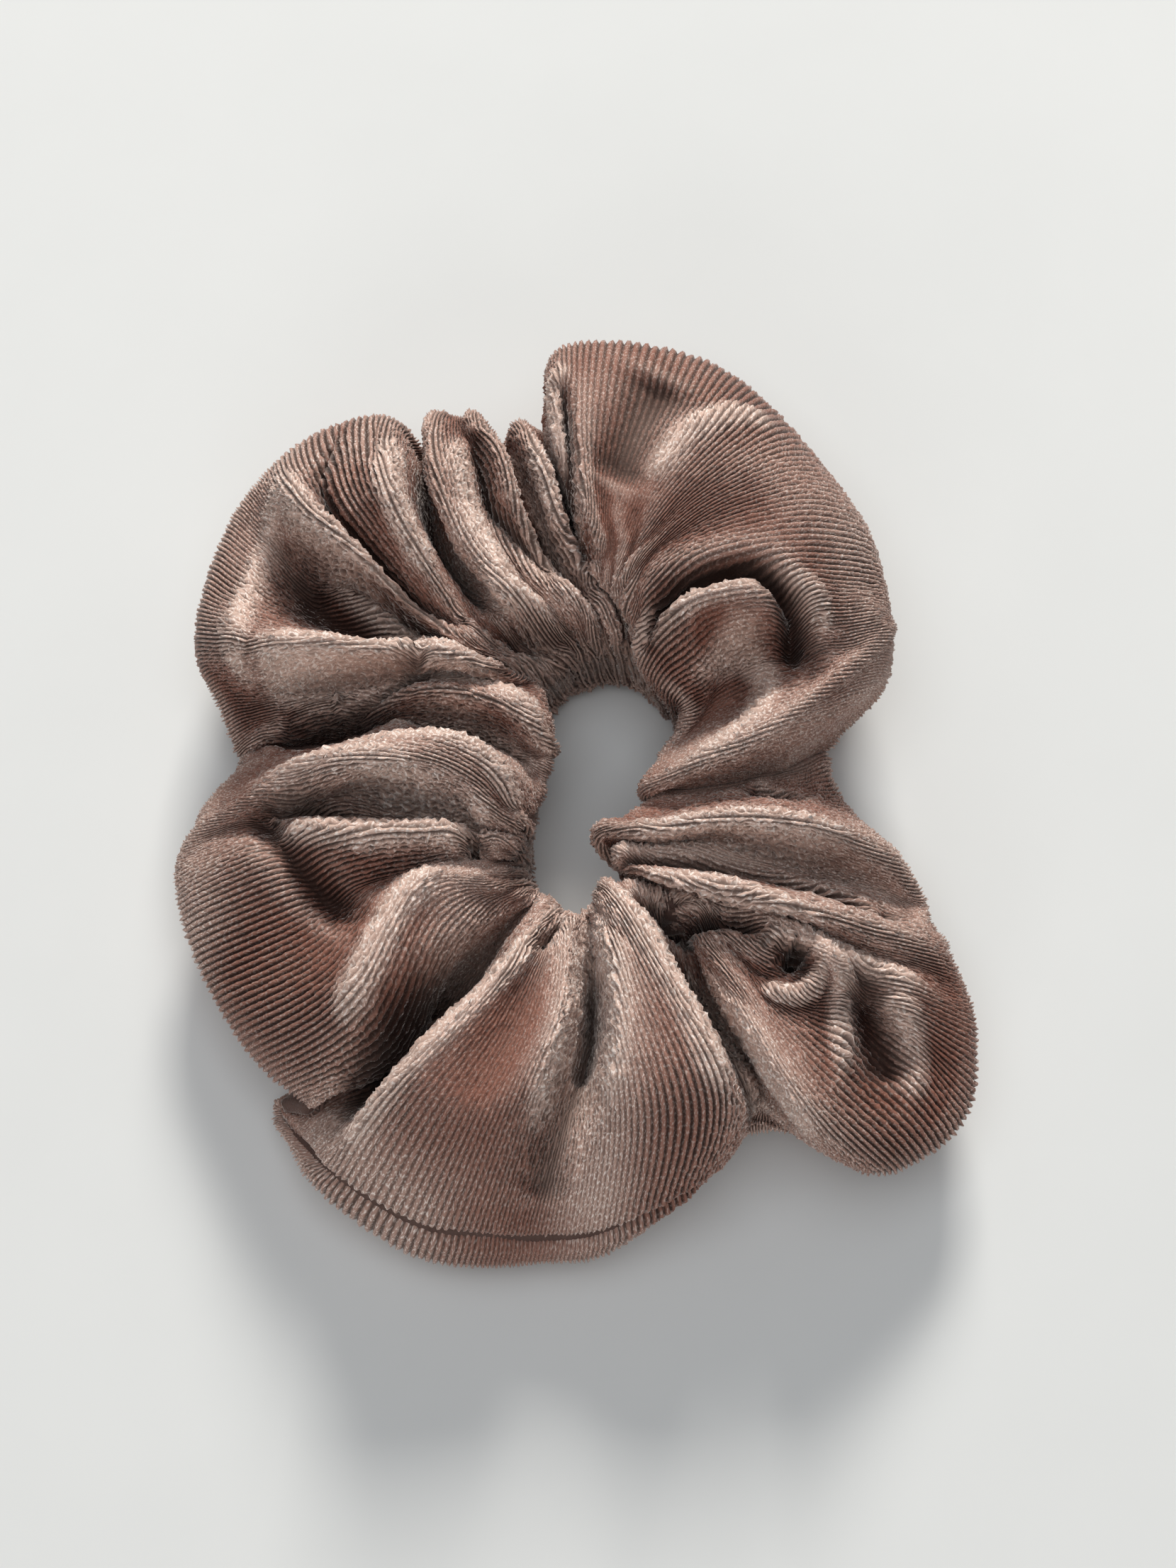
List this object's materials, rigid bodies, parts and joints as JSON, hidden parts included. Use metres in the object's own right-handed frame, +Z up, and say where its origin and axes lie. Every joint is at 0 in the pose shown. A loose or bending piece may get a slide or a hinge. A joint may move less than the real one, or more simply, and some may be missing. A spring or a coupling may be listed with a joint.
{
  "type": "hair scrunchie",
  "caption": "Round hair scrunchie: a wide ribbed velvet tube gathered into deep folds on an elastic loop, with an open middle for hair.",
  "frame": {"origin": "on the surface the scrunchie rests on, under the middle of its box", "axes": "+Z up through the loop, +Y along the longer way across, +X along the way the two halves draw apart"},
  "size_m": [0.1052, 0.1242, 0.0338],
  "materials": {
    "ribbed_velvet": "matte",
    "braided_elastic": "matte",
    "sewing_thread": "satin"
  },
  "bodies": {
    "left_half": {"sleeve_left": "ribbed_velvet", "elastic_left": "braided_elastic", "elastic_tack_thread": "sewing_thread", "seam_thread_left": "sewing_thread"},
    "right_half": {"sleeve_right": "ribbed_velvet", "elastic_right": "braided_elastic", "seam_thread_right": "sewing_thread", "closing_thread": "sewing_thread"}
  },
  "joints": [
    {"name": "stretch", "type": "slide", "parent": "left_half", "child": "right_half", "axis": [1, 0, 0], "range_m": [0, 0.06], "stiffness_N_per_m": 60}
  ]
}
